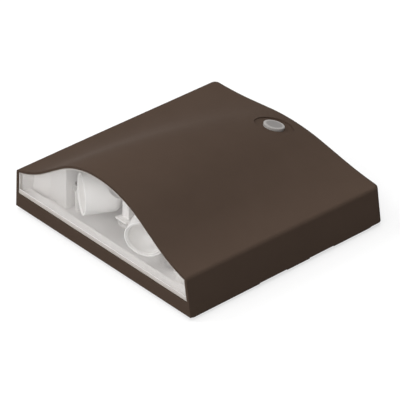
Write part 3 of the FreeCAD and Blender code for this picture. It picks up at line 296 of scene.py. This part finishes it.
border = {
    "top": 0.0003, "side": 0.0007, "bottom": 0.0041, "proud": 0.00055, "clear": 0.00002, "merge": 1e-6,
    "section": [(0.0, 0.0), (0.06, 0.7), (0.2, 1.0), (0.8, 1.0), (0.94, 0.7), (1.0, 0.0)],  # (share, rise)
    "lip": 0.00032, "lipSides": 8, "lipSunk": 0.6,
}


def paneBorder():
    # moulded rim on the pane, its mid brown a painted refraction of the housing wall seen through the pane
    # edge: outline + share * (inner edge - outline), lifted by proud * rise towards -Y, and a pale bead round
    # its inner edge, its white a painted highlight along the pane edge: inner edge + lip * (cos t, sin t)
    loop = paneOutline()
    loop = loop[np.linalg.norm(loop - np.roll(loop, 1, axis=0), axis=1) > border["merge"]]
    along = np.roll(loop, -1, axis=0) - np.roll(loop, 1, axis=0)
    along /= np.linalg.norm(along, axis=1)[:, None]
    inner = loop + border["top"] * np.stack([-along[:, 1], along[:, 0]], axis=1)
    low, high = loop.min(axis=0), loop.max(axis=0)
    inner[:, 0] = np.clip(inner[:, 0], low[0] + border["side"], high[0] - border["side"])
    inner[:, 1] = np.clip(inner[:, 1], low[1] + border["bottom"], high[1] - border["top"])
    face = window["setback"] - border["clear"]
    share, rise = np.array(border["section"]).T
    flat = loop[:, None, :] + (inner - loop)[:, None, :] * share[None, :, None]
    raised = onPane(flat, face - border["proud"] * rise)
    closedTube("paneBorder", raised, paneEdgePaintedRefraction, "fixture", smooth=False)
    turns = np.linspace(0.0, 2.0 * math.pi, border["lipSides"], endpoint=False)
    outward = (loop - inner) / np.linalg.norm(loop - inner, axis=1)[:, None]
    flat = inner[:, None, :] + border["lip"] * outward[:, None, :] * np.cos(turns)[None, :, None]
    rounded = onPane(flat, face - border["lip"] * (border["lipSunk"] + np.sin(turns)))
    closedTube("paneHighlightBead", rounded, paneBeadPaintedHighlight, "fixture")


lampHeads = {
    "left": {"pivot": (-0.0213, -0.066, 0.047), "yaw": -30.0, "droop": -1.0},
    "right": {"pivot": (0.0213, -0.066, 0.047), "yaw": 30.0, "droop": 6.1},
}


def turnedRing(side, name, section, steps, material):
    # section of (radius, height) turned about the lamp's aim: (radius cos a, radius sin a, height)
    head = lampHeads[side]
    aim = np.array(
        Matrix.Translation(head["pivot"]) @ Matrix.Rotation(math.radians(head["yaw"]), 4, "Z")
        @ Matrix.Rotation(math.radians(90.0 + head["droop"]), 4, "X")
    )
    angle = np.linspace(0.0, 2.0 * math.pi, steps, endpoint=False)[:, None]
    radius, height = np.array(section).T
    grid = np.stack([radius * np.cos(angle), radius * np.sin(angle), height + 0.0 * angle], axis=-1)
    closedTube(side + name, grid @ aim[:3, :3].T + aim[:3, 3], material, side + "_lamp")


def bead(radius, height, thick, sides=12):
    # round section: (radius + thick cos t, height + thick sin t)
    turns = np.linspace(0.0, 2.0 * math.pi, sides, endpoint=False)
    return np.stack([radius + thick * np.cos(turns), height + thick * np.sin(turns)], axis=1)


lampTrim = {
    "lip": (0.0182, 0.0400, 0.00065), "cup": (0.0166, 0.0393, 0.0005),  # (radius, height, thickness)
    "collar": [(0.0046, 0.0255), (0.0064, 0.0255), (0.0060, 0.0264), (0.0049, 0.0271), (0.0046, 0.0267)],
    "lipSteps": 96, "collarSteps": 48,
}
for side in lampHeads:
    turnedRing(side, "MouthLip", bead(*lampTrim["lip"]), lampTrim["lipSteps"], headWhite)
    turnedRing(side, "CupLip", bead(*lampTrim["cup"]), lampTrim["lipSteps"], brightBowl)
    turnedRing(side, "EmitterCollar", lampTrim["collar"], lampTrim["collarSteps"], headWhite)
paneBorder()
print("window border and lamp trim made")


view = {
    "azimuth": 49.01, "elevation": 34.35,  # degrees
    "across": -0.00105, "upward": 0.01460, "width": 0.34564, "away": 1.2,
}
turn, rise = math.radians(view["azimuth"]), math.radians(view["elevation"])
rightWay = Vector((math.cos(turn), math.sin(turn), 0.0))
upWay = Vector((-math.sin(turn) * math.sin(rise), math.cos(turn) * math.sin(rise), math.cos(rise)))
backWay = rightWay.cross(upWay)
cameraData = bpy.data.cameras.new("photoCamera")
cameraData.type = "ORTHO"
cameraData.ortho_scale = view["width"]
camera = bpy.data.objects.new("photoCamera", cameraData)
bpy.context.scene.collection.objects.link(camera)
where = rightWay * view["across"] + upWay * view["upward"] + backWay * view["away"]
camera.matrix_world = Matrix.Translation(where) @ Matrix((rightWay, upWay, backWay)).transposed().to_4x4()
bpy.context.scene.camera = camera


def seenDirectly(tree):
    # 1 for rays that show a surface as it is: from the camera, off gloss and through glass
    path = tree.nodes.new("ShaderNodeLightPath")
    total = path.outputs["Is Camera Ray"]
    for name in ("Is Glossy Ray", "Is Transmission Ray"):
        highest = tree.nodes.new("ShaderNodeMath")
        highest.operation = "MAXIMUM"
        tree.links.new(total, highest.inputs[0])
        tree.links.new(path.outputs[name], highest.inputs[1])
        total = highest.outputs[0]
    return total


studio = {"ambient": 0.12, "floorColour": 0.40, "floorGlow": 0.62, "floorHalf": 4.0, "floorDrop": 0.0004}
floorMesh = bpy.data.meshes.new("floor")
half, drop = studio["floorHalf"], -studio["floorDrop"]
corners = [(-half, -half, drop), (half, -half, drop), (half, half, drop), (-half, half, drop)]
floorMesh.from_pydata(corners, [], [(0, 1, 2, 3)])
floor = bpy.data.objects.new("floor", floorMesh)
bpy.context.scene.collection.objects.link(floor)
floorShader = Shader("paleFloor")
glow = floorShader.add("ShaderNodeMath")
glow.operation = "MULTIPLY"
floorShader.feed(glow, 0, seenDirectly(floorShader.tree))
floorShader.feed(glow, 1, studio["floorGlow"])
floorShader.set(
    Base_Color=(studio["floorColour"],) * 3, Roughness=0.9, Specular_IOR_Level=0.0,
    Emission_Color=(1.0, 1.0, 1.0), Emission_Strength=glow.outputs[0],
)
floorMesh.materials.append(floorShader.material)

world = bpy.data.worlds.new("studio")
bpy.context.scene.world = world
world.use_nodes = True
sky = world.node_tree.nodes["Background"]
sky.inputs["Color"].default_value = (1, 1, 1, 1)
strength = world.node_tree.nodes.new("ShaderNodeMapRange")
world.node_tree.links.new(seenDirectly(world.node_tree), strength.inputs["Value"])
strength.inputs["To Min"].default_value = studio["ambient"]
strength.inputs["To Max"].default_value = 1.0
world.node_tree.links.new(strength.outputs["Result"], sky.inputs["Strength"])


lightTarget = (0.0, 0.0, 0.04)  # middle of the housing


def softBox(name, place, size, watts):
    data = bpy.data.lights.new(name, "AREA")
    data.shape = "SQUARE"
    data.size = size
    data.energy = watts
    lamp = bpy.data.objects.new(name, data)
    bpy.context.scene.collection.objects.link(lamp)
    lamp.location = place
    lamp.rotation_euler = (Vector(lightTarget) - Vector(place)).to_track_quat("-Z", "Y").to_euler()


lights = {
    "keyLight": {"place": (-2.6, -2.2, 3.2), "size": 2.4, "watts": 96.0},
    "topLight": {"place": (0.0, 0.0, 4.4), "size": 2.4, "watts": 108.0},
    "frontLight": {"place": (0.0, -4.0, 1.4), "size": 2.4, "watts": 54.0},
    "fillLight": {"place": (2.5, -2.16, 2.26), "size": 2.4, "watts": 52.0},
}
for name, light in lights.items():
    softBox(name, light["place"], light["size"], light["watts"])
bpy.context.scene.view_settings.view_transform = "Standard"
print("camera, floor and", len(lights), "lights placed")
